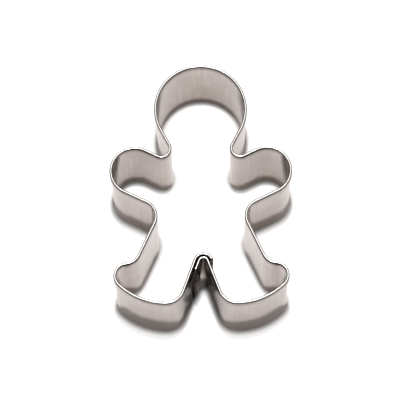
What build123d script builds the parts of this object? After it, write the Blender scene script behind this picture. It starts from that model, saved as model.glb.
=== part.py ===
from build123d import *
from dataclasses import dataclass
from math import atan2, cos, degrees, hypot, radians, sin, sqrt
import os

os.makedirs("parts", exist_ok=True)

# A figure-shaped cookie cutter, bent from one strip of tinned sheet steel.
# Lengths are in millimetres and angles in degrees.
# +Y runs from the feet to the head, and +Z from the cutting edge up to the hemmed rim.
# The origin lies on the cutting edge's plane, in the middle of the figure.

# Strip: a plain cutting edge at the bottom, and a hem folded outwards along the top
sheet_thickness = 0.28
wall_height = 23.4
hem_slit = 0.06
hem_depth = 2.6
crown_flats = 6
edge_corner_radius = 0.6
rim_corner_radius = 0.25
cut_overrun = 0.1

# Outline: bends of the face that cuts the dough, down the right side from the head.
# A bearing is the direction from one bend's centre to the next, counted from +X,
# and a run is the straight stretch of strip left between the two bends.
head_radius = 8.85
neck_bearing = -46
neck_run = 3.6
neck_radius = 2.1
hand_bearing = -41
hand_run = 2.8
hand_radius = 4.5
armpit_bearing = -95.5
armpit_run = 5.0
armpit_radius = 3.7
ankle_bearing = -68
ankle_run = 7.4
ankle_radius = 3.3
toe_bearing = -94
toe_run = 0.5
toe_radius = 2.25
sole_radius = 13.5
heel_radius = 3.5
heel_offset = 7.25
heel_drop = 36.9

# Seam: the two ends of the strip cross over the bend between the legs
crotch_radius = 0.65
crotch_rise = 4.65
lap_clearance = 0.2
inner_lap_angle = 72
outer_lap_run = 2.1

# Spot welds that hold the lapped ends, each in a pair of dents pressed towards each other
upper_weld_height = 17.5
lower_weld_height = 7.0
weld_radius = 0.4
weld_clearance = 0.06
dent_rim_radius = 0.75
dent_floor_radius = 0.55

# Sizes that follow
hem_thickness = 2 * sheet_thickness + hem_slit
hem_top = wall_height - hem_thickness / 2
hem_lip = wall_height - hem_depth
lap_pitch = hem_thickness + lap_clearance
wall_gap = lap_pitch - sheet_thickness
dent_depth = (wall_gap - weld_clearance) / 2
weld_length = weld_clearance + sheet_thickness
outer_lap_radius = crotch_radius + hem_thickness
inner_lap_radius = outer_lap_radius + lap_pitch
heel_height = -heel_drop
crotch_height = heel_height + crotch_rise
full_turn = 360
least_run = hem_slit / 100


@dataclass(frozen=True)
class Bend:
    """A round bend of the strip's inner face. A turn of 1 bends it left as it travels, -1 right."""

    centre: Vector
    radius: float
    turn: int

    def mirrored(self):
        """The same bend on the figure's other side."""
        return Bend(Vector(-self.centre.X, self.centre.Y), self.radius, self.turn)


def bearing_of(step):
    """The direction of a step, in degrees from +X."""
    return degrees(atan2(step.Y, step.X))


def towards(bearing):
    """A step of unit length along a bearing."""
    return Vector(cos(radians(bearing)), sin(radians(bearing)))


def outwards_of(travel):
    """The way that the strip's outer side faces, which is left of its travel."""
    return towards(bearing_of(travel) + full_turn / 4)


def next_bend(before, bearing, run, radius, turn):
    """The bend that follows another on a bearing, with a straight run between the two."""
    spread = before.turn * before.radius - turn * radius
    return Bend(before.centre + towards(bearing) * hypot(spread, run), radius, turn)


def bridging_bend(first, second, radius):
    """The large bend that touches two smaller ones and wraps round both."""
    step = second.centre - first.centre
    first_reach = radius - first.radius
    second_reach = radius - second.radius
    along = (first_reach**2 - second_reach**2 + step.length**2) / (2 * step.length)
    aside = sqrt(first_reach**2 - along**2)
    heading = bearing_of(step)
    centre = first.centre + towards(heading) * along + towards(heading - full_turn / 4) * aside
    return Bend(centre, radius, first.turn)


def meeting_points(first, second):
    """Where the strip leaves one bend and meets the next, with no kink and, if they touch, no run."""
    step = second.centre - first.centre
    spread = first.turn * first.radius - second.turn * second.radius
    run = sqrt(max(0, step.length**2 - spread**2))
    if run < least_run:
        run = 0
    right = towards(bearing_of(step) + degrees(atan2(spread, run)) - full_turn / 4)
    return (
        first.centre + right * (first.turn * first.radius),
        second.centre + right * (second.turn * second.radius),
    )


def arc_about(bend, start, end):
    """The stretch of a bend from one of its points to another, the way the strip travels."""
    start_bearing = bearing_of(start - bend.centre)
    angle = (bearing_of(end - bend.centre) - start_bearing) * bend.turn % full_turn
    return CenterArc(bend.centre, bend.radius, start_bearing, bend.turn * angle)


def right_side_bends():
    """The bends from the head's round down the right side to the heel."""
    head = Bend(Vector(0, 0), head_radius, -1)
    neck = next_bend(head, neck_bearing, neck_run, neck_radius, 1)
    hand = next_bend(neck, hand_bearing, hand_run, hand_radius, -1)
    armpit = next_bend(hand, armpit_bearing, armpit_run, armpit_radius, 1)
    ankle = next_bend(armpit, ankle_bearing, ankle_run, ankle_radius, 1)
    toe = next_bend(ankle, toe_bearing, toe_run, toe_radius, -1)
    heel = Bend(Vector(heel_offset, heel_height), heel_radius, -1)
    sole = bridging_bend(toe, heel, sole_radius)
    return [head, neck, hand, armpit, ankle, toe, sole, heel]


def strip_path():
    """The inner face seen from above, clockwise from the inner lap's end to the outer lap's end.

    The bend between the legs stands half the lap's pitch aside, so that both legs are alike.
    """
    right = right_side_bends()
    left = [bend.mirrored() for bend in reversed(right[1:])]
    crotch_centre = Vector(lap_pitch / 2, crotch_height)
    inner_lap = Bend(crotch_centre, inner_lap_radius, 1)
    outer_lap = Bend(crotch_centre, outer_lap_radius, 1)
    bends = [inner_lap] + left + right + [outer_lap]

    here = crotch_centre + towards(full_turn / 4 - inner_lap_angle) * inner_lap_radius
    edges = []
    for bend, following in zip(bends, bends[1:]):
        leave, meet = meeting_points(bend, following)
        edges.append(arc_about(bend, here, leave))
        if (meet - leave).length > least_run:
            edges.append(Line(leave, meet))
        here = meet

    inner_leave, left_heel_meet = meeting_points(inner_lap, left[0])
    slope = (left_heel_meet - inner_leave).normalized()
    outer_leave = inner_leave + outwards_of(slope) * lap_pitch
    edges.append(arc_about(outer_lap, here, outer_leave))
    edges.append(Line(outer_leave, outer_leave + slope * outer_lap_run))
    return Wire(edges)


def strip_section(start, travel):
    """The strip's cross-section: the wall, and the hem that hooks over to its outer side.

    The fold's round crown is drawn as short flats that lie within a hundredth of the round.
    """
    lip_inside = hem_thickness - sheet_thickness
    crown_radius = hem_thickness / 2
    crown_bearings = [full_turn / 2 * (1 - step / crown_flats) for step in range(crown_flats + 1)]
    crown = [Vector(crown_radius, hem_top) + towards(bearing) * crown_radius for bearing in crown_bearings]
    hook = [Vector(hem_thickness, hem_lip), Vector(lip_inside, hem_lip), Vector(lip_inside, hem_top)]
    wall = [Vector(sheet_thickness, hem_top), Vector(sheet_thickness, 0), Vector(0, 0)]
    face_plane = Plane(start, x_dir=outwards_of(travel), z_dir=travel)
    return face_plane * make_face(Polyline(*crown, *hook, *wall, close=True))


def end_waste(end, leaving, outwards):
    """What rounding the lower and the upper corner of one of the strip's ends takes away."""
    face_plane = Plane(end, x_dir=leaving, z_dir=leaving.cross(Axis.Z.direction))
    waste = []
    for height, inwards, radius in ((0, 1, edge_corner_radius), (wall_height, -1, rim_corner_radius)):
        side = radius + cut_overrun
        centre = Vector(-radius, height + inwards * radius)
        square = Pos(centre + Vector(side, -inwards * side) / 2) * Rectangle(side, side)
        corner = face_plane * (square - Pos(centre) * Circle(radius))
        waste.append(extrude(corner, amount=hem_thickness + cut_overrun, dir=outwards))
    return waste


def rounded_ends(band, path):
    """The strip with the corners of both its ends rounded off."""
    for end, travel, way in ((path @ 0, path % 0, -1), (path @ 1, path % 1, 1)):
        for waste in end_waste(end, travel * way, outwards_of(travel)):
            band = band - waste
    return band


def dent(face_plane):
    """The metal that one dent moves, standing on the plane of the face that it leaves."""
    return face_plane * Cone(
        dent_rim_radius, dent_floor_radius, dent_depth, align=(Align.CENTER, Align.CENTER, Align.MIN)
    )


def weld_plane(path, height):
    """A plane on the outer lap's inner face, at the middle of its last run, facing the inner lap."""
    travel = path % 1
    middle = path @ 1 - travel * (outer_lap_run / 2) + Vector(0, 0, height)
    return Plane(middle, x_dir=travel, z_dir=-outwards_of(travel))


def dented(band, plane):
    """The band with its two lapped walls pressed towards each other on one weld's axis."""
    inner_lap = plane.offset(lap_pitch)
    outer_lap = plane.offset(-sheet_thickness)
    inner_lap_back = Plane(plane.offset(wall_gap).origin, x_dir=plane.x_dir, z_dir=-plane.z_dir)
    inner_lap_front = Plane(inner_lap.origin, x_dir=plane.x_dir, z_dir=-plane.z_dir)
    band = band + dent(plane) + dent(inner_lap_back)
    return band - dent(outer_lap) - dent(inner_lap_front)


def spot_weld(plane):
    """The disc of fused metal that joins the floors of two dents, half a sheet deep in each."""
    return plane.offset(wall_gap / 2) * Cylinder(weld_radius, weld_length)


path = strip_path()
band = sweep(strip_section(path @ 0, path % 0), path)
band = rounded_ends(band, path)
welds = {}
for name, height in (("upper_spot_weld", upper_weld_height), ("lower_spot_weld", lower_weld_height)):
    plane = weld_plane(path, height)
    welds[name] = spot_weld(plane)
    band = dented(band, plane) - welds[name]

middle = band.bounding_box().center()
for name, shape in {"band": band, **welds}.items():
    export_step(Pos(-middle.X, -middle.Y, 0) * shape, f"parts/{name}.step")
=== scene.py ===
from dataclasses import dataclass
from math import atan2, ceil, cos, degrees, hypot, radians, sin, sqrt

import bpy
from mathutils import Matrix, Vector, noise


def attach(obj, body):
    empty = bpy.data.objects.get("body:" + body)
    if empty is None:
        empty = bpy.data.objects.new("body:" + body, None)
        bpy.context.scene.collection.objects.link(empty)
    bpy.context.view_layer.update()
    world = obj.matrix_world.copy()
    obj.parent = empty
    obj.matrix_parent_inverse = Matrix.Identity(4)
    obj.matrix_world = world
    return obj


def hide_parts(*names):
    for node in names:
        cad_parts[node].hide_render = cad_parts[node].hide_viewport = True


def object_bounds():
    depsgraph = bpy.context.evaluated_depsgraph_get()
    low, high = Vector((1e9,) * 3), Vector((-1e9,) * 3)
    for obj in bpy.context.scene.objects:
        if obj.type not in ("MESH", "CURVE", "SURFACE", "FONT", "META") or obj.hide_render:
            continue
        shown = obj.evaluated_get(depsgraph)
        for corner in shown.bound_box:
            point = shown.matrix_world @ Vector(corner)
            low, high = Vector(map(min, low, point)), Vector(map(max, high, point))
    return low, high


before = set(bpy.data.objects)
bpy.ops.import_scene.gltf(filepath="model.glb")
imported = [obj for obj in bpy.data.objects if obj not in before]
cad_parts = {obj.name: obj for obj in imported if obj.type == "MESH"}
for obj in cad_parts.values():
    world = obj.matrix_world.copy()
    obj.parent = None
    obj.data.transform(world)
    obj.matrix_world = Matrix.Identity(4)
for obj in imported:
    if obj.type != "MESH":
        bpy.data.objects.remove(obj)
cad_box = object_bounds()

# Lengths are in metres and angles in degrees, and mm turns millimetres into metres.
mm = 0.001
full_turn = 360

# Strip
sheet_thickness = 0.28 * mm
wall_height = 23.4 * mm
hem_slit = 0.06 * mm
hem_depth = 2.6 * mm
crown_rise = 0.48 * mm
edge_corner_radius = 0.6 * mm
rim_corner_radius = 0.25 * mm

# Outline, down the right side from the head
head_radius = 8.85 * mm
neck_bearing = -46
neck_run = 3.6 * mm
neck_radius = 2.1 * mm
hand_bearing = -41
hand_run = 2.8 * mm
hand_radius = 4.5 * mm
armpit_bearing = -95.5
armpit_run = 5.0 * mm
armpit_radius = 3.7 * mm
ankle_bearing = -68
ankle_run = 7.4 * mm
ankle_radius = 3.3 * mm
toe_bearing = -94
toe_run = 0.5 * mm
toe_radius = 2.25 * mm
sole_radius = 13.5 * mm
heel_radius = 3.5 * mm
heel_offset = 7.25 * mm
heel_drop = 36.9 * mm

# Seam
crotch_radius = 0.65 * mm
crotch_rise = 4.65 * mm
lap_clearance = 0.2 * mm
inner_lap_angle = 72
outer_lap_run = 2.1 * mm

# Spot welds
upper_weld_height = 17.5 * mm
lower_weld_height = 7.0 * mm
weld_clearance = 0.06 * mm

# How the welding tongs left the laps: pressed together below the hem, fully out to the hold and less
# out to the reach, with a round mark at each weld, and the bend between the legs flattened lower down
press_hold = 1.4 * mm
press_reach = 5.0 * mm
press_fade = 3.0 * mm
mark_radius = 0.8 * mm
mark_edge = 0.35 * mm
flat_half_width = 0.62 * mm
flat_full_height = 7.0 * mm
flat_top_height = 20.0 * mm

# Painted shade: a dark line below the rim, from where it starts to where it is full,
# and the rim's crest, which the painted shade leaves clear
rim_shade_low = 21.1 * mm
rim_shade_high = 22.8 * mm
crest_low = 23.2 * mm
crest_high = 23.37 * mm

# How far heat browning and painted shade of the narrow gap darken the sheet, round the middle of the bend
# between the legs, and the patch in its middle where a painted reflection brightens it
browning_shade_hold = 5.2 * mm
browning_shade_reach = 8.8 * mm
reflection_hold = 0.95 * mm
reflection_reach = 1.3 * mm
reflection_low = 9.0 * mm
reflection_high = 19.0 * mm

# Unevenness of a strip bent by hand: waves that are longer up the wall than along it,
# and the share of their depth that the stiff hem lets through
wave_length = 7.0 * mm
wave_stretch = 3
wave_depth = 0.07 * mm
wave_share_at_hem = 0.25

# How finely the strip is meshed
bend_step = 2.5
straight_step = 0.8 * mm
fine_step = 0.14 * mm
row_step = 1.6 * mm
crown_steps = 14
hem_steps = 5
sharp_angle = 50

# The sheet's streaks, its clouds and the weld's spots, in waves a metre along each axis,
# how many finer layers each has, the range of noise that counts, and how deep the streaks are
streak_waves = (1700, 1700, 60)
streak_layers = 3
streak_range = (0.3, 0.7)
cloud_waves = (170, 170, 110)
cloud_layers = 4
cloud_range = (0.35, 0.65)
spot_waves = (3000, 3000, 3000)
spot_layers = 3
streak_bump = 0.6
streak_depth = 0.04 * mm

# Metal colours: the sheet and the weld from dark to light, the rim's crest, left clear of painted shade,
# and a painted reflection
streak_dark = (0.42, 0.365, 0.34)
streak_light = (0.57, 0.515, 0.49)
cloud_dark = (0.41, 0.355, 0.33)
crest_unshaded = (0.52, 0.505, 0.49)
bend_painted_reflection = (0.66, 0.61, 0.58)
weld_dark = (0.30, 0.27, 0.25)
weld_light = (0.44, 0.40, 0.38)

# What painted shade leaves of the sheet's colour at the cutting edge and under the rim, and what heat
# browning and painted shade leave of it round the seam, and of its shine at a flat angle
edge_painted_shade = (0.80, 0.735, 0.70)
rim_painted_shade = (0.27, 0.24, 0.22)
browning_and_gap_shade_colour = (0.16, 0.137, 0.122)
browning_and_gap_shade_shine = (0.60, 0.565, 0.54)

# Roughness from the sheet's dark clouds to its light ones, of its crest, of the weld and of the floor
dark_roughness = 0.10
light_roughness = 0.16
crest_roughness = 0.16
weld_roughness = 0.45
floor_roughness = 0.9

# The floor that the metal mirrors, pale round the object and duller far away like a painted pool of light,
# and the floor that the camera sees, which a plain glow lifts to white except where the object nearly
# touches it
floor_reach = 3.0
floor_near = 45 * mm
floor_far = 150 * mm
floor_near_colour = (0.82, 0.80, 0.79)
floor_far_colour = (0.58, 0.57, 0.56)
floor_seen_colour = (0.46, 0.44, 0.43)
floor_glow = 0.7
contact_distance = 1.4 * mm
contact_range = (0.5, 0.98)
contact_power = 1.6
contact_samples = 16

# Surroundings
surroundings_dim = (0.06, 0.06, 0.06)
surroundings_mirrored = (0.5, 0.49, 0.48)
white = (1, 1, 1)

# Lamps, all above the object and a little behind its middle
softbox_size = 1.5
softbox_power = 1.0
softbox_place = (0, 0.05, 0.75)
dish_size = 0.72
dish_power = 5.4
dish_place = (0, 0.058, 0.99)
key_radius = 0.018
key_power = 40
key_spread = 9
key_blend = 0.9
key_place = (0, 0.0626, 1.254)

# Camera, in the photograph's place
picture_width = 400
camera_place = Vector((3.746, -231.421, 818.235)) * mm
camera_target = Vector((-0.201, -3.497, 23.25)) * mm
camera_roll = -1.377
focal_pixels = 4089.1
sensor_width = 36.0
nearest_seen = 0.01
farthest_seen = 10

# Sizes that follow
hem_thickness = 2 * sheet_thickness + hem_slit
crown_foot = wall_height - crown_rise
hem_lip = wall_height - hem_depth
lap_pitch = hem_thickness + lap_clearance
press_depth = (lap_pitch - sheet_thickness - weld_clearance) / 2
mark_depth = weld_clearance / 2
outer_lap_radius = crotch_radius + hem_thickness
inner_lap_radius = outer_lap_radius + lap_pitch
crotch_height = crotch_rise - heel_drop
head_middle = cad_box[1].y - head_radius - hem_thickness
least_run = hem_slit / 100
least_rise = 0.01 * mm
seam_reach = 3 * press_reach


@dataclass(frozen=True)
class Bend:
    """A round bend of the strip's inner face. A turn of 1 bends it left as it travels, -1 right."""

    centre: Vector
    radius: float
    turn: int

    def mirrored(self):
        """The same bend on the figure's other side."""
        return Bend(Vector((-self.centre.x, self.centre.y)), self.radius, self.turn)


@dataclass
class Station:
    """A place on the strip's inner face in plan, the way the strip heads there, and its distances."""

    place: Vector
    heading: Vector
    from_start: float = 0
    from_end: float = 0

    @property
    def outwards(self):
        """The way that the strip's outer side faces."""
        return Vector((-self.heading.y, self.heading.x))


def bearing_of(step):
    """The direction of a step, in degrees from +X."""
    return degrees(atan2(step.y, step.x))


def towards(bearing):
    """A step of unit length along a bearing."""
    return Vector((cos(radians(bearing)), sin(radians(bearing))))


def eased(share):
    """A share between 0 and 1, with a gentle start and end."""
    share = min(1, max(0, share))
    return share * share * (3 - 2 * share)


def next_bend(before, bearing, run, radius, turn):
    """The bend that follows another on a bearing, with a straight run between the two."""
    spread = before.turn * before.radius - turn * radius
    return Bend(before.centre + towards(bearing) * hypot(spread, run), radius, turn)


def bridging_bend(first, second, radius):
    """The large bend that touches two smaller ones and wraps round both."""
    step = second.centre - first.centre
    first_reach = radius - first.radius
    second_reach = radius - second.radius
    along = (first_reach**2 - second_reach**2 + step.length**2) / (2 * step.length)
    aside = sqrt(first_reach**2 - along**2)
    heading = bearing_of(step)
    centre = first.centre + towards(heading) * along + towards(heading - full_turn / 4) * aside
    return Bend(centre, radius, first.turn)


def meeting_bearing(first, second):
    """The bearing, to the strip's right, of the points where it leaves one bend and meets the next."""
    step = second.centre - first.centre
    spread = first.turn * first.radius - second.turn * second.radius
    run = sqrt(max(0, step.length**2 - spread**2))
    return bearing_of(step) + degrees(atan2(spread, run)) - full_turn / 4


def strip_bends():
    """Every bend from the inner lap clockwise round the figure to the outer lap."""
    head = Bend(Vector((0, head_middle)), head_radius, -1)
    neck = next_bend(head, neck_bearing, neck_run, neck_radius, 1)
    hand = next_bend(neck, hand_bearing, hand_run, hand_radius, -1)
    armpit = next_bend(hand, armpit_bearing, armpit_run, armpit_radius, 1)
    ankle = next_bend(armpit, ankle_bearing, ankle_run, ankle_radius, 1)
    toe = next_bend(ankle, toe_bearing, toe_run, toe_radius, -1)
    heel = Bend(Vector((heel_offset, head_middle - heel_drop)), heel_radius, -1)
    sole = bridging_bend(toe, heel, sole_radius)
    right = [head, neck, hand, armpit, ankle, toe, sole, heel]
    left = [bend.mirrored() for bend in reversed(right[1:])]
    crotch_centre = Vector((lap_pitch / 2, head_middle + crotch_height))
    inner_lap = Bend(crotch_centre, inner_lap_radius, 1)
    outer_lap = Bend(crotch_centre, outer_lap_radius, 1)
    return [inner_lap] + left + right + [outer_lap]


def spaced(length, step):
    """Evenly spaced distances from zero, short of a length, no wider apart than a step."""
    count = max(1, ceil(length / step))
    return [length * index / count for index in range(count)]


def arc_stations(bend, start_bearing, angle, step):
    """Stations along a bend, from a bearing about its centre, through an angle."""
    stations = []
    for turned in spaced(angle, step):
        bearing = start_bearing + bend.turn * turned
        heading = towards(bearing + bend.turn * full_turn / 4)
        stations.append(Station(bend.centre + towards(bearing) * bend.radius, heading))
    return stations


def line_stations(start, end, step):
    """Stations along a straight run, and none if its ends meet."""
    run = end - start
    if run.length < least_run:
        return []
    heading = run.normalized()
    return [Station(start + heading * distance, heading) for distance in spaced(run.length, step)]


def strip_path():
    """The inner face's stations from the inner lap's end to the outer lap's end."""
    bends = strip_bends()
    inner_lap, outer_lap = bends[0], bends[-1]
    here = inner_lap.centre + towards(full_turn / 4 - inner_lap_angle) * inner_lap.radius
    stations = []
    for bend, following in zip(bends, bends[1:]):
        right = towards(meeting_bearing(bend, following))
        leave = bend.centre + right * (bend.turn * bend.radius)
        meet = following.centre + right * (following.turn * following.radius)
        start_bearing = bearing_of(here - bend.centre)
        angle = (bearing_of(leave - bend.centre) - start_bearing) * bend.turn % full_turn
        at_seam = bend is inner_lap
        step = degrees(fine_step / bend.radius) if at_seam else bend_step
        stations += arc_stations(bend, start_bearing, angle, step)
        stations += line_stations(leave, meet, fine_step if at_seam else straight_step)
        here = meet
    lap_side = towards(meeting_bearing(inner_lap, bends[1]))
    leave = outer_lap.centre + lap_side * outer_lap.radius
    start_bearing = bearing_of(here - outer_lap.centre)
    angle = (bearing_of(leave - outer_lap.centre) - start_bearing) % full_turn
    stations += arc_stations(outer_lap, start_bearing, angle, degrees(fine_step / outer_lap.radius))
    heading = towards(bearing_of(lap_side) + full_turn / 4)
    end = leave + heading * outer_lap_run
    stations += line_stations(leave, end, fine_step)
    stations.append(Station(end, heading))
    return stations


def measured(stations):
    """The stations with their distances from the strip's two ends."""
    for before, station in zip(stations, stations[1:]):
        station.from_start = before.from_start + (station.place - before.place).length
    for station in stations:
        station.from_end = stations[-1].from_start - station.from_start
    return stations


def wall_heights():
    """Heights of the wall's rows from the cutting edge to the fold, closer together at the welds."""
    heights = spaced(crown_foot, row_step)
    for weld_height in (upper_weld_height, lower_weld_height):
        heights = [height for height in heights if abs(height - weld_height) > mark_radius + fine_step]
        marked = spaced(2 * mark_radius + fine_step, fine_step)
        heights += [weld_height - mark_radius + height for height in marked]
    return sorted(heights)


def section_rows():
    """The sheet's section, from the cutting edge up and over the fold to the hem's lip.

    Each row is a pair of points, distance outwards and height, on the sheet's two faces.
    """
    outer_crown = (hem_thickness / 2, crown_rise)
    inner_crown = (hem_slit / 2, crown_rise - sheet_thickness)
    rows = [((0, height), (sheet_thickness, height)) for height in wall_heights()]
    for step in range(crown_steps + 1):
        across = towards(full_turn / 2 * (1 - step / crown_steps))
        pair = []
        for half_width, rise in (outer_crown, inner_crown):
            pair.append((hem_thickness / 2 + across.x * half_width, crown_foot + across.y * rise))
        rows.append(tuple(pair))
    for step in range(1, hem_steps + 1):
        height = crown_foot + (hem_lip - crown_foot) * step / hem_steps
        rows.append(((hem_thickness, height), (hem_thickness - sheet_thickness, height)))
    return rows


def corner_trim(radius, from_tip):
    """How much a round corner takes off the strip's height, a distance from its end."""
    inside = max(0, radius - from_tip)
    return radius - sqrt(radius**2 - inside**2)


def rounded_height(height, from_tip):
    """A height near the strip's end, moved so that the end's two corners are round."""
    top_trim = corner_trim(rim_corner_radius, from_tip)
    edge_trim = corner_trim(edge_corner_radius, from_tip)
    if height > hem_lip:
        return hem_lip + (height - hem_lip) * (hem_depth - top_trim) / hem_depth
    return edge_trim + height * (hem_lip - edge_trim) / hem_lip


def flattened(station, height):
    """How far the bend between the legs is pressed out towards the gap, which leaves it flat."""
    centre = Vector((lap_pitch / 2, head_middle + crotch_height))
    face_radius = outer_lap_radius - sheet_thickness
    from_centre = station.place - centre
    share = eased((flat_top_height - height) / (flat_top_height - flat_full_height))
    half_width = flat_half_width * share
    flat_distance = sqrt(face_radius**2 - half_width**2)
    return max(0, face_radius - flat_distance * from_centre.length / max(from_centre.y, least_rise))


def wall_shift(station, height, weld_place):
    """How far the wall stands out from its place: the strip's unevenness, and the pressed laps."""
    below = eased((hem_lip - height) / press_fade)
    where = Vector((station.place.x, station.place.y, height / wave_stretch)) / wave_length
    shift = wave_depth * noise.noise(where) * (wave_share_at_hem + (1 - wave_share_at_hem) * below)
    on_inner_lap = station.from_start < station.from_end
    if min(station.from_start, station.from_end) > seam_reach:
        return shift
    from_weld = (station.place - weld_place).length
    shift *= eased(from_weld / press_reach)
    pressed = press_depth * below * eased((press_reach - from_weld) / (press_reach - press_hold))
    for weld_height in (upper_weld_height, lower_weld_height):
        from_spot = hypot(from_weld, height - weld_height)
        pressed += mark_depth * eased((mark_radius - from_spot) / mark_edge)
    if on_inner_lap:
        return shift + pressed
    return shift - pressed + flattened(station, height)


def build_band():
    """The strip as one mesh, a ring of points round its section at each station."""
    stations = measured(strip_path())
    rows = section_rows()
    end = stations[-1]
    weld_place = end.place - end.heading * (outer_lap_run / 2)
    section = [row[0] for row in rows] + [row[1] for row in reversed(rows)]
    points = []
    for station in stations:
        tip = min(station.from_start, station.from_end)
        for reach, height in section:
            shifted = reach + wall_shift(station, height, weld_place)
            place = station.place + station.outwards * shifted
            points.append((place.x, place.y, rounded_height(height, tip)))
    ring = 2 * len(rows)
    faces = []
    for start in range(0, len(points) - ring, ring):
        for index in range(ring):
            following = (index + 1) % ring
            faces.append((start + index, start + following, start + ring + following, start + ring + index))
    for start, order in ((0, -1), (len(points) - ring, 1)):
        for index in range(len(rows) - 1):
            corners = (index, index + 1, ring - 2 - index, ring - 1 - index)
            faces.append(tuple(start + corner for corner in corners[::order]))
    mesh = bpy.data.meshes.new("cutter_band")
    mesh.from_pydata(points, [], faces)
    mesh.shade_smooth()
    mesh.set_sharp_from_angle(angle=radians(sharp_angle))
    piece = bpy.data.objects.new("cutter_band", mesh)
    bpy.context.scene.collection.objects.link(piece)
    return piece


def shader_nodes(name):
    """A new material with its node tree and its Principled shader."""
    material = bpy.data.materials.new(name)
    material.use_nodes = True
    tree = material.node_tree
    return material, tree, tree.nodes["Principled BSDF"]


def added(tree, kind, **settings):
    """A new node with some of its settings."""
    node = tree.nodes.new(kind)
    for setting, value in settings.items():
        setattr(node, setting, value)
    return node


def noise_of(tree, place, waves, layers):
    """A grey noise that follows the object, with so many waves a metre along each axis."""
    mapping = added(tree, "ShaderNodeMapping")
    mapping.inputs["Scale"].default_value = waves
    tree.links.new(place, mapping.inputs["Vector"])
    grain = added(tree, "ShaderNodeTexNoise")
    grain.inputs["Scale"].default_value = 1
    grain.inputs["Detail"].default_value = layers
    tree.links.new(mapping.outputs["Vector"], grain.inputs["Vector"])
    return grain.outputs["Fac"]


def ranged(tree, value, source, target):
    """A value carried from one range to another, and held within it."""
    node = added(tree, "ShaderNodeMapRange")
    node.inputs["From Min"].default_value, node.inputs["From Max"].default_value = source
    node.inputs["To Min"].default_value, node.inputs["To Max"].default_value = target
    tree.links.new(value, node.inputs["Value"])
    return node.outputs["Result"]


def multiplied(tree, first, second):
    """Two greys, one darkened by the other."""
    node = added(tree, "ShaderNodeMath", operation="MULTIPLY")
    tree.links.new(first, node.inputs[0])
    tree.links.new(second, node.inputs[1])
    return node.outputs["Value"]


def mixed(tree, share, first, second, blend="MIX"):
    """Two colours blended by a share. Each is a colour or a node's output.

    Inputs 6 and 7 and output 2 are the node's colour sockets, and input 0 is its share.
    """
    node = added(tree, "ShaderNodeMix", data_type="RGBA", blend_type=blend)
    for socket, colour in ((node.inputs[6], first), (node.inputs[7], second)):
        if isinstance(colour, tuple):
            socket.default_value = (*colour, 1)
        else:
            tree.links.new(colour, socket)
    tree.links.new(share, node.inputs[0])
    return node.outputs[2]


def tinned_sheet():
    """Satin tinned sheet: streaked, with painted shade at its cutting edge and below its rim, heat browning
    and painted shade at the seam, and a painted reflection between the legs.
    """
    material, tree, shader = shader_nodes("tinned_sheet_finish")
    place = added(tree, "ShaderNodeTexCoord").outputs["Object"]
    axes = added(tree, "ShaderNodeSeparateXYZ")
    tree.links.new(place, axes.inputs["Vector"])
    height = axes.outputs["Z"]
    streaks = noise_of(tree, place, streak_waves, streak_layers)
    clouds = noise_of(tree, place, cloud_waves, cloud_layers)
    streaked = ranged(tree, streaks, streak_range, (0, 1))
    clouded = ranged(tree, clouds, cloud_range, (0, 1))
    crest = ranged(tree, height, (crest_low, crest_high), (0, 1))
    # Masks for painted shade: darker towards the cutting edge, and a dark line below the rim
    low = ranged(tree, height, (0, hem_lip), (1, 0))
    rim_shaded = ranged(tree, height, (rim_shade_low, rim_shade_high), (0, 1))
    flat_place = added(tree, "ShaderNodeVectorMath", operation="MULTIPLY")
    flat_place.inputs[1].default_value = (1, 1, 0)
    tree.links.new(place, flat_place.inputs[0])
    from_seam = added(tree, "ShaderNodeVectorMath", operation="DISTANCE")
    from_seam.inputs[1].default_value = (0, head_middle + crotch_height, 0)
    tree.links.new(flat_place.outputs["Vector"], from_seam.inputs[0])
    # Heat browning and painted shade of the narrow gap round the seam, and a painted reflection on the
    # bend's middle
    browning_and_gap_shade = ranged(tree, from_seam.outputs["Value"], (browning_shade_hold, browning_shade_reach), (1, 0))
    on_bend = ranged(tree, from_seam.outputs["Value"], (reflection_hold, reflection_reach), (1, 0))
    bend_reflection = multiplied(tree, on_bend, ranged(tree, height, (reflection_low, reflection_high), (1, 0)))

    colour = mixed(tree, clouded, cloud_dark, mixed(tree, streaked, streak_dark, streak_light))
    # Painted shade darkens the sheet towards the cutting edge and below the rim, and painted shade with
    # heat browning round the seam
    for share, left in ((low, edge_painted_shade), (rim_shaded, rim_painted_shade), (browning_and_gap_shade, browning_and_gap_shade_colour)):
        colour = mixed(tree, share, colour, left, "MULTIPLY")
    # A painted reflection brightens the bend between the legs, and the crest is left clear of the painted
    # shade
    for share, bright in ((bend_reflection, bend_painted_reflection), (crest, crest_unshaded)):
        colour = mixed(tree, share, colour, bright)
    tree.links.new(colour, shader.inputs["Base Color"])
    # The seam's heat browning and painted shade also dull its shine, except where the painted reflection is
    shine = mixed(tree, bend_reflection, mixed(tree, browning_and_gap_shade, white, browning_and_gap_shade_shine), white)
    tree.links.new(shine, shader.inputs["Specular Tint"])
    shader.inputs["Metallic"].default_value = 1

    satin = ranged(tree, multiplied(tree, streaked, clouded), (0, 1), (dark_roughness, light_roughness))
    worn = added(tree, "ShaderNodeMix", data_type="FLOAT")
    tree.links.new(crest, worn.inputs[0])
    tree.links.new(satin, worn.inputs[2])
    worn.inputs[3].default_value = crest_roughness
    tree.links.new(worn.outputs[0], shader.inputs["Roughness"])

    bump = added(tree, "ShaderNodeBump")
    bump.inputs["Strength"].default_value = streak_bump
    bump.inputs["Distance"].default_value = streak_depth
    tree.links.new(streaks, bump.inputs["Height"])
    tree.links.new(bump.outputs["Normal"], shader.inputs["Normal"])
    return material


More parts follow.
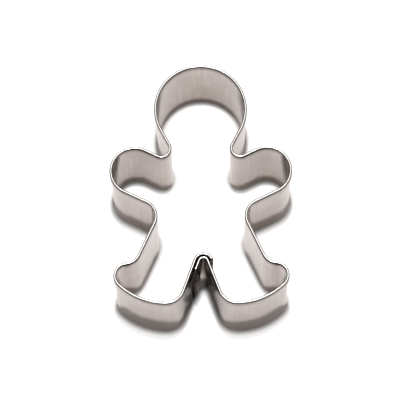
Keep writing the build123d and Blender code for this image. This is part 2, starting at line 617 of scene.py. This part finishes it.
def weld_metal():
    """Dull fused steel, darkened by the heat."""
    material, tree, shader = shader_nodes("weld_metal_finish")
    place = added(tree, "ShaderNodeTexCoord").outputs["Object"]
    spots = ranged(tree, noise_of(tree, place, spot_waves, spot_layers), cloud_range, (0, 1))
    tree.links.new(mixed(tree, spots, weld_dark, weld_light), shader.inputs["Base Color"])
    shader.inputs["Metallic"].default_value = 1
    shader.inputs["Roughness"].default_value = weld_roughness
    return material


def build_floor():
    """A pale floor. The camera sees it white, but for the object's shadow and the dark at its foot."""
    corners = [(x * floor_reach, y * floor_reach, 0) for x, y in ((-1, -1), (1, -1), (1, 1), (-1, 1))]
    mesh = bpy.data.meshes.new("floor")
    mesh.from_pydata(corners, [], [(0, 1, 2, 3)])
    floor = bpy.data.objects.new("floor", mesh)
    bpy.context.scene.collection.objects.link(floor)

    material, tree, shader = shader_nodes("floor_finish")
    seen = added(tree, "ShaderNodeLightPath").outputs["Is Camera Ray"]
    place = added(tree, "ShaderNodeTexCoord").outputs["Object"]
    away = added(tree, "ShaderNodeVectorMath", operation="LENGTH")
    tree.links.new(place, away.inputs[0])
    faded = ranged(tree, away.outputs["Value"], (floor_near, floor_far), (0, 1))
    # The floor that the metal mirrors is a painted pool of light, pale near the object and duller far away
    mirrored = mixed(tree, faded, floor_near_colour, floor_far_colour)
    tree.links.new(mixed(tree, seen, mirrored, floor_seen_colour), shader.inputs["Base Color"])
    shader.inputs["Roughness"].default_value = floor_roughness
    shader.inputs["Specular IOR Level"].default_value = 0

    openness = added(tree, "ShaderNodeAmbientOcclusion", samples=contact_samples)
    openness.inputs["Distance"].default_value = contact_distance
    power = added(tree, "ShaderNodeMath", operation="POWER")
    power.inputs[1].default_value = contact_power
    tree.links.new(ranged(tree, openness.outputs["AO"], contact_range, (0, 1)), power.inputs[0])
    glow = ranged(tree, multiplied(tree, seen, power.outputs["Value"]), (0, 1), (0, floor_glow))
    shader.inputs["Emission Color"].default_value = (*white, 1)
    tree.links.new(glow, shader.inputs["Emission Strength"])
    mesh.materials.append(material)


def build_world():
    """Dim surroundings, which the camera sees white and the metal a plain grey."""
    world = bpy.data.worlds.new("studio")
    world.use_nodes = True
    tree = world.node_tree
    rays = added(tree, "ShaderNodeLightPath")
    mirrored = mixed(tree, rays.outputs["Is Glossy Ray"], surroundings_dim, surroundings_mirrored)
    seen = mixed(tree, rays.outputs["Is Camera Ray"], mirrored, white)
    tree.links.new(seen, tree.nodes["Background"].inputs["Color"])
    bpy.context.scene.world = world


def place_lamp(name, lamp, place):
    """A lamp in its place, aimed at the object's foot."""
    lamp_object = bpy.data.objects.new(name, lamp)
    lamp_object.location = place
    lamp_object.rotation_euler = (-Vector(place)).to_track_quat("-Z", "Y").to_euler()
    bpy.context.scene.collection.objects.link(lamp_object)


def build_lamps():
    """A broad soft lamp, a smaller and brighter one above it, and a narrow beam from above both."""
    for name, size, power, place in (
        ("softbox", softbox_size, softbox_power, softbox_place),
        ("dish", dish_size, dish_power, dish_place),
    ):
        lamp = bpy.data.lights.new(name, "AREA")
        lamp.shape = "DISK"
        lamp.size = size
        lamp.energy = power
        place_lamp(name, lamp, place)
    key = bpy.data.lights.new("key", "SPOT")
    key.shadow_soft_size = key_radius
    key.energy = key_power
    key.spot_size = radians(key_spread)
    key.spot_blend = key_blend
    place_lamp("key", key, key_place)


def build_camera():
    """The camera at the photograph's viewing angle."""
    data = bpy.data.cameras.new("camera")
    data.sensor_width = sensor_width
    data.lens = focal_pixels / picture_width * sensor_width
    data.clip_start = nearest_seen
    data.clip_end = farthest_seen
    camera = bpy.data.objects.new("camera", data)
    aim = (camera_target - camera_place).to_track_quat("-Z", "Y").to_matrix().to_4x4()
    roll = Matrix.Rotation(radians(camera_roll), 4, "Z")
    camera.matrix_world = Matrix.Translation(camera_place) @ aim @ roll
    bpy.context.scene.collection.objects.link(camera)
    bpy.context.scene.camera = camera


band = build_band()
band.data.materials.append(tinned_sheet())
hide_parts("band")
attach(band, "root")
fused = weld_metal()
for name in ("upper_spot_weld", "lower_spot_weld"):
    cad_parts[name].material_slots[0].material = fused

build_floor()
build_world()
build_lamps()
build_camera()
bpy.context.scene.view_settings.view_transform = "Standard"
